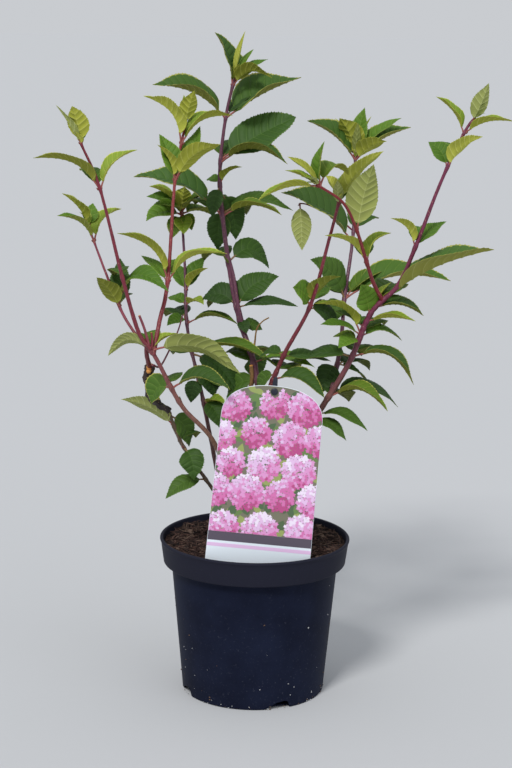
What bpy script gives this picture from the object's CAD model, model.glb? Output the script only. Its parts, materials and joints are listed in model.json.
"""Looks of the young hydrangea shrub in its nursery pot.

Sizes are in millimetres and become metres through MM. +Z is up, -Y is the front and +X is to the right.
The stems follow the same points as their solids, from just under the compost, and every leaf grows from a
node of its stem.
"""

import json
import math
import random

import bmesh
import bpy
import numpy as np
from mathutils import Matrix, Vector, noise

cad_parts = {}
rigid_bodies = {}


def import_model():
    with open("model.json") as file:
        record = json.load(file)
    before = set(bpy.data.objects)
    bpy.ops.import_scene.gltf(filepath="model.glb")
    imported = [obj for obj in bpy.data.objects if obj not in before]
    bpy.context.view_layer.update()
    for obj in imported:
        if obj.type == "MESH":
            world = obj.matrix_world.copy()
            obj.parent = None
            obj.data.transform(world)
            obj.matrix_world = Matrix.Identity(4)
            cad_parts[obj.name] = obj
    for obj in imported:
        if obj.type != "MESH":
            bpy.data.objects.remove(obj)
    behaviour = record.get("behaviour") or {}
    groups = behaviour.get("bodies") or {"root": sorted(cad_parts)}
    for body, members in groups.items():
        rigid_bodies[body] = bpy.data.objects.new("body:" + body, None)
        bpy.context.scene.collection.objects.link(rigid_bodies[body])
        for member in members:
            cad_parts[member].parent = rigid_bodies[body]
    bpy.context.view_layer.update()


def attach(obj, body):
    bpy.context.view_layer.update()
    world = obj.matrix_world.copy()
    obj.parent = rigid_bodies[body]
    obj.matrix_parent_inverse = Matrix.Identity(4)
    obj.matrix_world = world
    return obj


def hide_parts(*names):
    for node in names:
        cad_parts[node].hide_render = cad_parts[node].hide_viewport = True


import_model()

MM = 0.001
SEED = 7
UP = np.array((0.0, 0.0, 1.0))
FRONT = np.array((0.0, -1.0, 0.0))
ASKEW = np.array((0.3, -1.0, 0.1))  # a direction that no limb follows
TINY = 1e-9

# Pot, compost and label.
RIM_RADIUS = 95.0
POT_HEIGHT = 158.0
BAND_FOOT = 133.0
SHOULDER_RADIUS = 83.0
FOOT_RADIUS = 71.5
WALL = 1.6
NOTCH_ANGLES = (-70.0, 20.0, 110.0, 200.0)
NOTCH_DEPTH = 16.0
# Outline of a notch seen from outside, to the right and up: a long slope, a flat top and a steep side.
NOTCH_OUTLINE = [(-16.5, -1.0), (-1.0, 6.8), (7.0, 8.2), (11.5, 7.0), (14.5, -1.0)]
SOIL_TOP = 149.0
LABEL_WIDTH = 102.0
LABEL_HEIGHT = 185.4
LABEL_ARCH = 32.0
LABEL_TAPER = 0.06  # how much narrower it is at the top, as a share
LABEL_CURVE = 0.85  # how square the shoulders of its arch are: 1 for an ellipse, less for squarer
LABEL_THICKNESS = 1.0
LABEL_FOOT = (2.0, -69.0, 141.0)
LABEL_LEAN = math.radians(4.7)
LABEL_HOLE = 180.0  # height of its centre above the label's foot
LABEL_HOLE_RADIUS = 2.4
PEG_TOP = 193.5  # above the label's foot
PEG_LENGTH = 258.0

# Each stem: the points it passes through, its radius at foot and tip, and its bark.
STEMS = {
    "right_bough": (
        [(24, -6, 145), (25, -6, 160), (38, -9, 250), (64, -12, 293), (90, -17, 340), (109, -22, 389),
         (134, -26, 417), (150, -29, 456), (172, -30, 518), (193, -28, 565), (203, -26, 578)],
        (3.6, 1.3), "wine"),
    "left_bough": (
        [(-14, -22, 145), (-15, -23, 160), (-37, -50, 258), (-71, -62, 303), (-92, -70, 344),
         (-100, -74, 360)],
        (2.5, 2.0), "rose"),
    "tall_stem": (
        [(14, 14, 145), (14, 14, 160), (1, 20, 308), (-18, 40, 370), (-28, 50, 414), (-37, 58, 474),
         (-40, 63, 517), (-35, 70, 569), (-27, 75, 607)],
        (4.0, 1.4), "plum"),
    "mid_right_stem": (
        [(3, -12, 145), (3, -12, 160), (2, -11, 270), (23, -20, 340), (50, -36, 398), (66, -54, 464),
         (74, -64, 500)],
        (2.9, 1.4), "crimson"),
    "back_left_stem": (
        [(-28, 22, 145), (-28, 22, 160), (-54, 30, 290), (-71, 64, 353), (-75, 88, 408), (-80, 106, 475)],
        (2.5, 1.2), "plum"),
    "low_stem": (
        [(-6, -6, 145), (-7, -6, 158), (-43, -20, 212), (-72, -28, 257), (-87, -34, 296)],
        (1.9, 1.6), "wood"),
    "old_stub": (
        [(-85, -34, 292), (-100, -41, 305), (-105, -44, 324), (-103, -45, 340)],
        (3.2, 4.0), "stub"),
    "left_shoot": (
        [(-101, -75, 361), (-112, -78, 378), (-126, -88, 430), (-145, -106, 514), (-161, -116, 555)],
        (2.1, 1.1), "crimson"),
    "outer_shoot": (
        [(-99, -72, 355), (-118, -66, 377), (-133, -58, 402), (-156, -44, 457), (-162, -40, 474)],
        (1.6, 0.9), "rose"),
    "inner_shoot": (
        [(-98, -74, 355), (-93, -62, 385), (-86, -48, 422), (-81, -15, 515), (-72, 3, 568)],
        (2.2, 1.1), "scarlet"),
    "back_right_stem": (
        [(63, -12, 292), (74, 2, 308), (84, 42, 351), (88, 72, 390), (97, 104, 453), (99, 138, 527)],
        (2.4, 1.4), "plum"),
    "side_shoot": (
        [(120, -24, 402), (110, -36, 421), (102, -50, 443), (91, -70, 475), (77, -86, 502),
         (52, -102, 520)],
        (2.0, 1.1), "scarlet"),
}

# Links, cut stubs and dry twigs: points, radius at foot and tip, and bark.
TWIGS = {
    "stub_link": ([(-103, -47, 337), (-104, -58, 346), (-105, -67, 357), (-104, -75, 370)],
                  (2.3, 2.0), "crimson"),
    "hanging_twig": ([(98, 108, 453), (78, 104, 469), (57, 100, 478), (47, 96, 482), (41, 91, 483)],
                     (0.9, 0.7), "crimson"),
    "fork_stub": ([(-100, -74, 356), (-106, -76, 379), (-111, -78, 393)], (1.5, 1.1), "rose"),
    "fork_spur": ([(-100, -74, 359), (-99, -74, 367), (-100, -73, 376)], (1.4, 1.0), "crimson"),
    "cane_twin": ([(-12, 34, 352), (-20, 41, 385), (-23, 45, 403), (-26, 49, 418), (-31, 53, 434)],
                  (2.6, 1.5), "plum"),
    "yellow_stub": ([(-9, 26, 296), (-5, 21, 312), (-6, 19, 328)], (2.2, 2.0), "dry"),
    "dry_twig": ([(-6, 27, 330), (-3, 29, 347), (-1, 28, 363), (4, 26, 371), (11, 24, 376)],
                 (1.2, 0.6), "dry"),
    "thin_twig": ([(-99, -72, 345), (-92, -60, 342), (-82, -50, 360), (-76, -45, 374), (-72, -42, 388)],
                  (1.0, 0.6), "wine"),
}

# Leaves by stem and mass of foliage. Each: height of its node, reach of its tip to the right, back and
# up, rise of its arch, width, turn of the upper face towards the front and fold of the wings in degrees,
# and its kind.
LEAVES = {
    "left_shoot": {
        "left_tip": [
            (554, (-22, -4, 35), 1, 13, -20, 30, "pale"), (554, (-7, -12, 35), 2, 21, -62, 20, "lime"),
            (554, (-2, 10, 31), 1, 12, 30, 26, "leaf"),
        ],
        "left_upper": [
            (512, (-59, -15, 30), 12, 26, -3, 44, "olive"), (512, (32, 20, 36), 9, 19, 2, 44, "lime"),
            (514, (-22, 38, 13), 7, 18, 4, 28, "leaf"), (430, (-12, 46, -6), 8, 20, 6, 24, "old"),
        ],
    },
    "outer_shoot": {
        "outer_tip": [
            (472, (-24, -12, 32), 4, 21, -2, 42, "lime"), (472, (3, 10, 21), 1, 15, 60, 20, "leaf"),
        ],
        "outer_upper": [
            (457, (-33, -18, 27), 8, 24, 8, 40, "leaf"), (457, (24, 22, 30), 9, 22, 0, 44, "lime"),
        ],
        "outer_low": [
            (397, (-20, -22, 32), 3, 20, -55, 18, "olive"), (397, (-2, 28, 44), 3, 20, 46, 18, "old"),
            (401, (50, -40, 18), 22, 24, 24, 28, "leaf"), (401, (-2, 48, -8), 8, 26, 6, 24, "old"),
        ],
    },
    "inner_shoot": {
        "inner_tip": [
            (566, (9, -10, 33), 2, 18, -55, 22, "lime"), (566, (-2, 12, 28), 1, 12, -40, 26, "lime"),
            (547, (-35, -15, 47), 12, 26, -2, 44, "lime"), (547, (49, 18, 28), 11, 24, 0, 44, "lime"),
        ],
        "inner_upper": [
            (513, (-16, 16, 44), 4, 24, 14, 44, "leaf"), (513, (-16, -14, 36), 5, 15, -2, 44, "lime"),
            (514, (23, 20, 51), -3, 24, 22, 26, "leaf"), (513, (44, -25, 38), 9, 23, -44, 20, "lime"),
            (515, (-4, 44, 14), 7, 22, 4, 28, "leaf"),
        ],
        "inner_low": [
            (420, (-47, -10, 48), 13, 25, -4, 44, "lime"), (420, (56, 12, 27), 13, 22, -2, 44, "lime"),
            (420, (-27, 28, 22), 4, 13, 10, 24, "leaf"), (422, (-12, 50, 6), 9, 28, 4, 26, "leaf"),
        ],
    },
    "back_left_stem": {
        "back_left_tip": [
            (468, (-36, -14, -5), 7, 30, 26, 32, "leaf"), (469, (-33, -8, 29), 6, 26, 2, 40, "lime"),
            (470, (3, -8, 28), 2, 22, -34, 26, "lime"), (471, (28, -18, 21), 4, 26, 22, 32, "olive"),
            (469, (32, 16, -3), 5, 24, 6, 42, "olive"), (468, (3, -22, -17), 2, 20, 54, 22, "lime"),
            (468, (-9, -16, -22), 3, 19, 46, 24, "olive"), (470, (-22, -22, 11), 4, 22, 24, 34, "leaf"),
            (471, (-36, -4, 16), 5, 20, 30, 26, "leaf"), (469, (11, -14, -15), 3, 15, 44, 24, "olive"),
            (473, (6, 44, 8), 7, 24, 6, 26, "leaf"),
        ],
        "back_left_mid": [
            (392, (19, 22, 34), 4, 18, 38, 24, "leaf"), (392, (23, -16, 27), 4, 18, 0, 42, "lime"),
            (392, (-16, 28, 27), 3, 17, 25, 24, "leaf"), (379, (19, -26, 5), 4, 17, 2, 42, "lime"),
            (379, (-20, 20, 4), 4, 15, 25, 24, "leaf"), (365, (-19, -20, -3), 4, 15, 30, 24, "leaf"),
            (361, (53, -18, 3), 9, 20, 2, 40, "olive"), (394, (-8, 52, 8), 9, 28, 6, 22, "old"),
            (366, (-24, 48, -6), 9, 28, 6, 22, "old"),
        ],
        "back_left_low": [
            (336, (85, -60, -2), 12, 27, 4, 40, "olive"), (333, (47, -24, -36), 9, 30, 30, 22, "old"),
            (333, (-22, 18, -2), 5, 20, 22, 24, "old"), (310, (51, 10, -12), 9, 30, 45, 20, "old"),
            (310, (-7, -12, -22), 4, 18, 45, 20, "old"), (290, (20, -18, -27), 6, 22, 40, 20, "old"),
            (286, (22, -10, 2), 4, 19, 4, 40, "lime"), (320, (19, -6, -28), 6, 27, 42, 20, "old"),
            (334, (-22, 54, -12), 10, 30, 6, 22, "old"),
        ],
    },
    "tall_stem": {
        "tall_tip": [
            (600, (-18, 8, 53), 5, 34, 5, 38, "edged"), (600, (39, -16, 10), 11, 22, -26, 36, "olive"),
            (605, (11, -4, 50), 1, 9, -20, 34, "lime"), (605, (34, 18, 22), 4, 13, 20, 26, "leaf"),
            (607, (19, 10, 30), 2, 11, 30, 26, "leaf"),
        ],
        "tall_upper": [
            (569, (-72, -15, 33), 10, 46, 13, 44, "edged"), (569, (75, 18, 41), 4, 57, 16, 42, "edged"),
            (569, (38, 34, 31), 6, 20, 8, 22, "old"),
        ],
        "tall_middle": [
            (528, (75, 12, 43), 3, 46, 44, 20, "broad"), (525, (67, -26, 2), 15, 32, 0, 42, "edged"),
            (504, (22, -16, 19), 5, 16, 0, 38, "olive"), (505, (-14, 14, 2), 3, 12, 30, 26, "leaf"),
            (528, (10, 54, 0), 10, 32, 8, 22, "old"), (528, (34, 44, 10), 9, 28, 8, 22, "old"),
        ],
        "tall_lower": [
            (472, (-89, -2, 39), 13, 45, 24, 36, "stalked"), (472, (59, -12, 4), 11, 24, -2, 42, "olive"),
            (474, (71, 22, 3), 14, 27, 22, 24, "old"), (502, (-7, -14, -30), 4, 17, 44, 24, "old"),
            (496, (16, 12, -49), 6, 27, 72, 16, "old"), (480, (-4, 14, -44), 5, 25, 70, 16, "old"),
            (474, (-30, 56, 4), 11, 34, 8, 22, "old"), (474, (24, 60, -6), 11, 34, 8, 22, "old"),
        ],
        "tall_knee": [
            (427, (41, 16, -8), 17, 29, 36, 20, "old"), (425, (-8, -12, 14), 0, 8, 25, 20, "old"),
            (429, (-26, 52, -8), 10, 30, 8, 22, "old"),
        ],
        "tall_foot": [
            (382, (42, 12, 31), 9, 30, 48, 20, "old"), (382, (61, -16, 5), 6, 21, 16, 26, "old"),
            (384, (-35, 14, 4), 9, 26, 50, 18, "old"), (364, (21, 12, -5), 4, 16, 45, 20, "old"),
            (370, (7, -14, -11), 3, 13, 50, 20, "old"), (384, (22, 56, 10), 10, 30, 8, 22, "old"),
            (384, (-30, 50, -10), 10, 28, 8, 22, "old"),
        ],
        "centre": [
            (330, (60, -40, 4), 8, 22, 14, 28, "leaf"), (328, (-30, 22, 8), 8, 24, 22, 22, "old"),
            (340, (5, 20, -37), 8, 26, 55, 18, "old"), (313, (-31, 14, -26), 8, 24, 40, 20, "old"),
            (340, (10, 54, -20), 10, 30, 8, 22, "old"),
        ],
    },
    "mid_right_stem": {
        "mid_right_tip": [
            (498, (-12, 8, 26), 3, 23, -44, 26, "lime"), (498, (-2, -14, 24), 1, 10, -50, 20, "pale"),
            (498, (40, -10, 51), 6, 25, -34, 26, "lime"), (498, (8, 18, 30), 1, 15, 20, 28, "leaf"),
        ],
        "mid_right": [
            (397, (-17, -24, 22), 5, 25, 52, 20, "leaf"), (397, (28, -16, 32), 7, 24, -22, 34, "olive"),
            (395, (29, 24, -19), 6, 21, 50, 20, "old"), (398, (14, 54, 4), 9, 28, 6, 24, "leaf"),
        ],
        "mid_right_low": [
            (321, (50, -24, -12), 11, 30, 12, 34, "edged"), (327, (-18, 10, -22), 5, 20, 40, 22, "old"),
            (346, (-24, 18, -6), 6, 18, 20, 24, "old"), (345, (48, 22, -8), 4, 20, 20, 22, "old"),
            (329, (20, 56, -12), 9, 30, 6, 22, "old"),
        ],
    },
    "side_shoot": {
        "side_tip": [
            (518, (-56, -10, -12), 6, 21, -4, 42, "lime"), (518, (-30, 10, 26), 3, 14, -35, 30, "lime"),
            (518, (3, -1, 41), 2, 23, 32, 40, "leaf"), (518, (27, 22, 9), 13, 27, 6, 34, "olive"),
            (520, (-29, 18, 11), 2, 12, 0, 40, "lime"),
        ],
        "side_upper": [(474, (13, -14, 64), 3, 31, -70, 15, "pale")],
        "side_lower": [
            (441, (-41, -14, 28), 8, 20, -4, 42, "lime"), (441, (23, 14, 28), 9, 19, 0, 42, "lime"),
            (443, (-6, 44, 12), 7, 20, 4, 30, "leaf"),
        ],
    },
    "back_right_stem": {
        "back_right_tip": [
            (524, (-51, -15, 41), 6, 42, 28, 36, "edged"), (524, (58, 16, 34), 5, 42, 10, 42, "edged"),
            (527, (9, 10, 51), 2, 21, 40, 30, "leaf"), (526, (-18, -12, 42), 5, 29, -56, 22, "lime"),
            (527, (-21, 16, 39), 2, 15, 0, 40, "lime"), (527, (47, 4, 41), 5, 22, 20, 34, "leaf"),
            (526, (16, 10, 43), 2, 12, -20, 36, "lime"), (524, (30, -28, 22), 4, 26, -34, 32, "lime"),
            (527, (1, -14, 37), 1, 9, -40, 22, "pale"), (524, (10, 38, 22), 6, 24, 6, 28, "leaf"),
        ],
        "back_right_upper": [
            (443, (-74, -18, 52), 9, 54, 27, 34, "edged"), (453, (24, 52, 8), 10, 32, 6, 22, "old"),
        ],
        "back_right_middle": [
            (388, (109, 12, 19), 15, 46, 14, 40, "edged"), (388, (-36, -18, 43), 8, 34, 52, 18, "old"),
            (387, (-11, -14, -21), 6, 23, 55, 20, "old"), (388, (51, 24, 29), 8, 24, 10, 30, "olive"),
            (390, (16, 62, -2), 11, 34, 6, 22, "old"), (390, (-22, 56, -6), 10, 30, 6, 22, "old"),
        ],
        "back_right_low": [
            (330, (-14, -18, -25), 6, 24, 58, 18, "old"), (330, (38, 30, -36), 8, 22, 22, 22, "old"),
            (342, (-39, 24, -14), 3, 20, 20, 22, "old"), (329, (36, 48, -14), 9, 30, 6, 22, "old"),
            (312, (-10, 50, -18), 9, 28, 6, 22, "old"),
        ],
    },
    "right_bough": {
        "right_tip": [
            (574, (14, -8, 37), -1, 18, -60, 22, "pale"), (563, (-26, 12, 34), 5, 18, 0, 42, "lime"),
            (563, (45, -12, 13), 6, 19, -4, 42, "lime"),
        ],
        "right_upper": [
            (531, (-17, 18, 23), 5, 20, 40, 20, "leaf"), (530, (31, -16, 32), 5, 24, -24, 36, "lime"),
            (533, (2, 34, 20), 5, 18, 4, 30, "leaf"),
        ],
        "right_middle": [
            (454, (-25, -14, 30), 7, 18, -2, 42, "lime"), (454, (31, 18, 24), 4, 20, 18, 24, "leaf"),
            (456, (12, 46, 10), 8, 24, 4, 28, "leaf"),
        ],
        "right_knee": [
            (399, (107, -14, 56), 9, 52, 0, 42, "stalked"), (395, (48, 10, -9), 7, 28, 10, 40, "edged"),
            (387, (-10, -18, 33), 3, 26, 66, 26, "leaf"), (395, (16, 14, 23), 3, 13, -20, 36, "lime"),
            (381, (46, -18, 4), 4, 19, 0, 42, "lime"), (389, (30, 12, 24), 4, 13, -4, 42, "lime"),
            (403, (20, 58, 2), 10, 32, 6, 22, "old"),
        ],
        "right_lower": [
            (367, (-46, -15, 33), 12, 24, -2, 42, "lime"), (365, (42, 14, -5), 9, 21, 10, 34, "leaf"),
            (367, (-40, -22, 14), 5, 19, 18, 28, "leaf"), (363, (-21, -22, -5), 4, 17, 30, 24, "leaf"),
            (374, (-28, 16, 14), 5, 16, 15, 30, "leaf"), (360, (-24, 12, 3), 4, 15, 20, 28, "olive"),
            (345, (60, -14, -24), 17, 26, 6, 42, "edged"), (345, (-59, 14, -13), 9, 26, 16, 24, "old"),
            (347, (12, 60, -12), 10, 32, 6, 22, "old"), (369, (26, 52, 0), 9, 28, 6, 22, "old"),
        ],
        "right_foot": [
            (303, (58, -16, -9), 15, 27, 2, 42, "olive"), (305, (69, 14, -13), 16, 28, 16, 30, "old"),
            (286, (49, -22, -11), 9, 20, 10, 26, "old"), (282, (32, -14, -19), 5, 16, 24, 22, "old"),
            (303, (24, 58, -16), 10, 32, 6, 22, "old"),
        ],
    },
    "left_bough": {
        "left_fork": [
            (358, (-43, 12, -7), 14, 17, -46, 20, "pale"), (359, (84, -20, -17), 15, 32, -44, 18, "pale"),
            (363, (24, 12, 14), 3, 13, 0, 42, "lime"), (360, (-14, 52, 2), 9, 28, 6, 22, "leaf"),
        ],
        "left_low": [
            (321, (-20, 14, -18), 9, 28, 56, 20, "edged"), (321, (56, -20, 4), 11, 30, 14, 40, "edged"),
            (308, (4, 16, -14), 3, 15, 40, 22, "old"), (324, (-6, 54, -10), 9, 28, 6, 22, "old"),
        ],
    },
    "low_stem": {
        "low_left": [
            (277, (-51, -6, 27), 6, 25, -44, 20, "pale"), (254, (10, -16, -28), 8, 25, 62, 18, "old"),
            (287, (18, 14, -34), 7, 25, 55, 18, "old"), (262, (14, 46, -8), 8, 26, 6, 22, "old"),
        ],
        "lowest": [(221, (-39, -16, -16), 7, 20, 28, 22, "old")],
    },
    "hanging_twig": {
        "back_right_upper": [(483, (3, -10, -47), 2, 21, -100, 14, "pale")],
    },
}


def linear(red, green, blue):
    """An sRGB colour of 0 to 255 as Blender's linear one."""
    shares = [value / 255 for value in (red, green, blue)]
    return tuple(s / 12.92 if s <= 0.04045 else ((s + 0.055) / 1.055) ** 2.4 for s in shares)


def polar(radius, angle):
    return radius * math.cos(angle), radius * math.sin(angle)


def spot(centre, radius, angle):
    """The point at a distance and an angle from a centre."""
    across, up = polar(radius, angle)
    return centre[0] + across, centre[1] + up


def placed(name, data):
    """A new object in the scene."""
    obj = bpy.data.objects.new(name, data)
    bpy.context.scene.collection.objects.link(obj)
    return obj


def shaded(mesh, sharp):
    """Smooth shading, with edges sharper than an angle in degrees kept sharp."""
    mesh.shade_smooth()
    mesh.set_sharp_from_angle(angle=math.radians(sharp))


def face_outwards(mesh, merge=0.0):
    """Joins points closer than merge metres and turns all faces outwards."""
    bm = bmesh.new()
    bm.from_mesh(mesh)
    if merge:
        bmesh.ops.remove_doubles(bm, verts=bm.verts, dist=merge)
    bmesh.ops.recalc_face_normals(bm, faces=bm.faces)
    bm.to_mesh(mesh)
    bm.free()


# ---------------------------------------------------------------- materials


class Paint:
    """A material and the nodes that are added to it."""

    def __init__(self, name, colour, roughness, specular=0.5):
        self.material = bpy.data.materials.new(name)
        self.material.use_nodes = True
        self.nodes = self.material.node_tree.nodes
        self.links = self.material.node_tree.links
        self.shader = self.nodes["Principled BSDF"]
        looks = {"Base Color": colour, "Roughness": roughness, "Specular IOR Level": specular}
        self.give(self.shader, looks)
        self.place = self.nodes.new("ShaderNodeTexCoord").outputs["Object"]

    def give(self, node, inputs):
        """Sets each input of a node to a value, or links it where it is given another node's socket."""
        for name, value in inputs.items():
            socket = node.inputs[name]
            if isinstance(value, bpy.types.NodeSocket):
                self.links.new(value, socket)
            else:
                socket.default_value = (*value, 1.0) if socket.type == "RGBA" else value

    def node(self, kind, output, inputs):
        """One output of a new node with these inputs."""
        node = self.nodes.new("ShaderNode" + kind)
        self.give(node, inputs)
        return node.outputs[output]

    def stretched(self, scale):
        """The piece's coordinates, scaled along each axis."""
        return self.node("Mapping", "Vector", {"Scale": scale, "Vector": self.place})

    def noise(self, scale, detail=3.0, roughness=0.5, place=None):
        inputs = {"Scale": scale, "Detail": detail, "Roughness": roughness, "Vector": place or self.place}
        return self.node("TexNoise", "Fac", inputs)

    def cells(self, scale, place):
        return self.node("TexVoronoi", "Distance", {"Scale": scale, "Vector": place})

    def ramp(self, value, *stops):
        """Colours by value; each stop is a place from 0 to 1 and a colour or a grey."""
        node = self.nodes.new("ShaderNodeValToRGB")
        elements = node.color_ramp.elements
        while len(elements) < len(stops):
            elements.new(0.5)
        for element, (at, colour) in zip(elements, stops):
            element.position = at
            tint = colour if isinstance(colour, tuple) else (colour,) * 3
            element.color = (*tint, 1.0)
        self.give(node, {"Fac": value})
        return node.outputs["Color"]

    def mix(self, share, first, second, kind="MIX"):
        """Two colours mixed; each is a socket or a plain colour, and share a socket or a number."""
        node = self.nodes.new("ShaderNodeMix")
        node.data_type = "RGBA"
        node.blend_type = kind
        self.give(node, {0: share, 6: first, 7: second})
        return node.outputs[2]

    def height(self, low, high):
        """0 at the height low, 1 at high, both in millimetres."""
        up = self.node("SeparateXYZ", "Z", {"Vector": self.place})
        inputs = {"From Min": low * MM, "From Max": high * MM, "Value": up}
        return self.node("MapRange", "Result", inputs)

    def colour(self, socket):
        self.give(self.shader, {"Base Color": socket})

    def rough(self, socket, low, high):
        """Roughness from a value, between two bounds."""
        span = self.node("MapRange", "Result", {"To Min": low, "To Max": high, "Value": socket})
        self.give(self.shader, {"Roughness": span})

    def bump(self, socket, strength, depth):
        """Relief from a value; depth in millimetres."""
        inputs = {"Strength": strength, "Distance": depth * MM, "Height": socket}
        self.give(self.shader, {"Normal": self.node("Bump", "Normal", inputs)})


def leaf_paint(name, colour, roughness):
    """Leaf tissue: one plain colour, with the fine pebbled grain of the blade."""
    paint = Paint(name, linear(*colour), roughness, 0.2)
    paint.bump(paint.noise(900.0, 4.0), 0.25, 0.3)
    return paint.material


# Colours of each kind of leaf, one row for each shade: upper face, its veins, underside, its veins.
SHADES = {
    "old": (
        ((52, 80, 28), (68, 98, 38), (106, 114, 50), (130, 136, 72)),
        ((44, 70, 26), (58, 86, 36), (98, 106, 48), (122, 128, 68)),
        ((64, 92, 30), (82, 112, 44), (112, 118, 48), (136, 140, 72)),
    ),
    "edged": (
        ((62, 92, 32), (80, 108, 42), (132, 134, 52), (156, 156, 78)),
        ((72, 104, 36), (92, 120, 48), (140, 140, 56), (162, 162, 82)),
        ((56, 84, 32), (72, 100, 42), (122, 126, 50), (148, 150, 74)),
    ),
    "broad": (
        ((50, 80, 32), (68, 98, 42), (132, 134, 52), (156, 156, 78)),
        ((58, 88, 36), (76, 106, 46), (140, 140, 56), (162, 162, 82)),
    ),
    "stalked": (
        ((64, 96, 40), (86, 116, 52), (136, 138, 60), (160, 162, 88)),
        ((72, 104, 44), (94, 122, 56), (142, 144, 64), (164, 166, 92)),
    ),
    "leaf": (
        ((72, 106, 30), (98, 128, 48), (126, 134, 52), (152, 158, 80)),
        ((86, 120, 34), (112, 140, 54), (134, 142, 56), (158, 164, 84)),
    ),
    "olive": (
        ((90, 116, 32), (120, 136, 52), (134, 138, 48), (160, 162, 76)),
        ((76, 104, 30), (106, 126, 48), (124, 130, 46), (150, 154, 72)),
    ),
    "lime": (
        ((116, 140, 42), (146, 162, 66), (162, 166, 62), (186, 188, 94)),
        ((130, 152, 50), (158, 172, 74), (174, 178, 72), (196, 198, 104)),
    ),
    "pale": (
        ((94, 124, 46), (124, 148, 68), (150, 158, 90), (180, 186, 124)),
        ((88, 116, 44), (118, 142, 64), (144, 152, 82), (174, 180, 114)),
    ),
}
LEAF_ROUGHNESS = {"upper": 0.58, "upper_vein": 0.58, "under": 0.75, "under_vein": 0.75}
UPPER, UPPER_VEIN, UNDER, UNDER_VEIN, RIM = range(5)  # the faces of a blade, in the order of their paints
# Kinds whose upper face has a rim as pale as the veins of its underside; others have it as their veins.
PALE_RIMS = ("edged", "stalked", "olive", "lime")


def leaf_paints():
    """{(kind, shade): the four materials of its faces}."""
    made = {}
    for kind, shades in SHADES.items():
        for index, colours in enumerate(shades):
            made[kind, index] = [
                leaf_paint(f"{kind}_{index}_{face}", colour, roughness)
                for (face, roughness), colour in zip(LEAF_ROUGHNESS.items(), colours)
            ]
    return made


# Bark: colour of the old end, of the young end and of its shaded streaks, and the heights from which and
# up to which the old colour turns into the young one.
BARKS = {
    "wine": ((114, 86, 66), (114, 44, 72), (62, 34, 44), 250, 380),
    "rose": ((116, 84, 66), (138, 60, 78), (82, 46, 50), 270, 400),
    "crimson": ((100, 50, 48), (124, 42, 58), (66, 30, 38), 250, 420),
    "scarlet": ((124, 42, 52), (130, 38, 44), (84, 30, 36), 360, 480),
    "plum": ((84, 54, 48), (98, 54, 74), (54, 34, 44), 240, 360),
    "wood": ((88, 70, 54), (96, 76, 58), (44, 34, 27), 200, 340),
    "stub": ((50, 39, 34), (58, 44, 38), (22, 18, 18), 290, 340),
    "dry": ((128, 96, 56), (142, 108, 60), (74, 54, 36), 280, 380),
}
LENTICEL_COLOUR = (206, 160, 128)

# Petioles and buds: colour and roughness.
STALKS = {
    "petiole_rose": ((148, 82, 76), 0.5),
    "petiole_olive": ((128, 100, 66), 0.5),
    "bud_scale": ((120, 62, 56), 0.55),
}

CUT_WOOD_COLOUR = (206, 142, 72)
PEG_COLOUR = (24, 30, 44)
CRUMB_COLOUR = (104, 84, 68)
GRIT_COLOUR = (176, 178, 180)
FLOOR_COLOUR = (193, 195, 198)


def bark_paint(name):
    """Bark from its old colour to its young one, streaked lengthwise and dotted with lenticels."""
    old, young, streak, low, high = BARKS[name]
    paint = Paint(name + "_bark", linear(*young), 0.5, 0.4)
    along = paint.stretched((900.0, 900.0, 90.0))
    streaks = paint.noise(1.0, 4.0, 0.6, along)
    base = paint.mix(paint.height(low, high), linear(*old), linear(*young))
    share = paint.ramp(streaks, (0.48, 0.0), (0.72, 0.75))
    dark = paint.mix(share, base, linear(*streak))
    dots = paint.cells(1.0, paint.stretched((520.0, 520.0, 190.0)))
    fleck = paint.ramp(dots, (0.1, 0.42), (0.2, 0.0))
    paint.colour(paint.mix(fleck, dark, linear(*LENTICEL_COLOUR)))
    paint.rough(streaks, 0.3, 0.52)
    paint.bump(streaks, 0.5, 0.35)
    return paint.material


def plain_paint(name, colour, roughness, scale, depth, specular=0.4):
    """One colour with a fine grain, its scale per metre and its depth in millimetres."""
    paint = Paint(name, linear(*colour), roughness, specular)
    paint.bump(paint.noise(scale, 4.0, 0.6), 0.4, depth)
    return paint.material


def pot_paint():
    """Near-black moulded plastic with a cool cast: faint flow marks, dust and dried splashes low down."""
    paint = Paint("pot_plastic", linear(20, 25, 41), 0.55, 0.05)
    cloud = paint.noise(22.0, 5.0, 0.6)
    tone = paint.ramp(cloud, (0.3, linear(17, 21, 37)), (0.75, linear(27, 33, 53)))
    band = paint.height(BAND_FOOT - 1.0, BAND_FOOT)
    tone = paint.mix(band, tone, linear(35, 36, 48))
    dust = paint.ramp(paint.noise(430.0, 4.0, 0.7), (0.6, 0.0), (0.74, 0.5))
    low = paint.ramp(paint.height(-10.0, 150.0), (0.0, 1.0), (1.0, 0.18))
    speck = paint.mix(1.0, dust, low, "MULTIPLY")
    paint.colour(paint.mix(speck, tone, linear(90, 94, 106)))
    paint.rough(cloud, 0.46, 0.62)
    paint.bump(paint.noise(700.0, 3.0), 0.12, 0.2)
    return paint.material


def compost_paint():
    """Dark brown fibrous peat with paler grains."""
    paint = Paint("compost_bed", linear(42, 31, 28), 0.95, 0.1)
    grain = paint.noise(420.0, 6.0, 0.7)
    stops = ((0.32, linear(20, 16, 15)), (0.5, linear(42, 31, 28)), (0.7, linear(68, 50, 42)))
    paint.colour(paint.ramp(grain, *stops))
    paint.bump(grain, 1.0, 2.0)
    return paint.material


def label_paint():
    """White plastic card, slightly uneven."""
    paint = Paint("label_card", linear(236, 246, 255), 0.34, 0.5)
    paint.bump(paint.noise(260.0, 2.0), 0.08, 0.15)
    return paint.material


def floor_paint():
    return Paint("floor_matt", linear(*FLOOR_COLOUR), 1.0, 0.0).material


# ---------------------------------------------------------------- meshes


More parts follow.
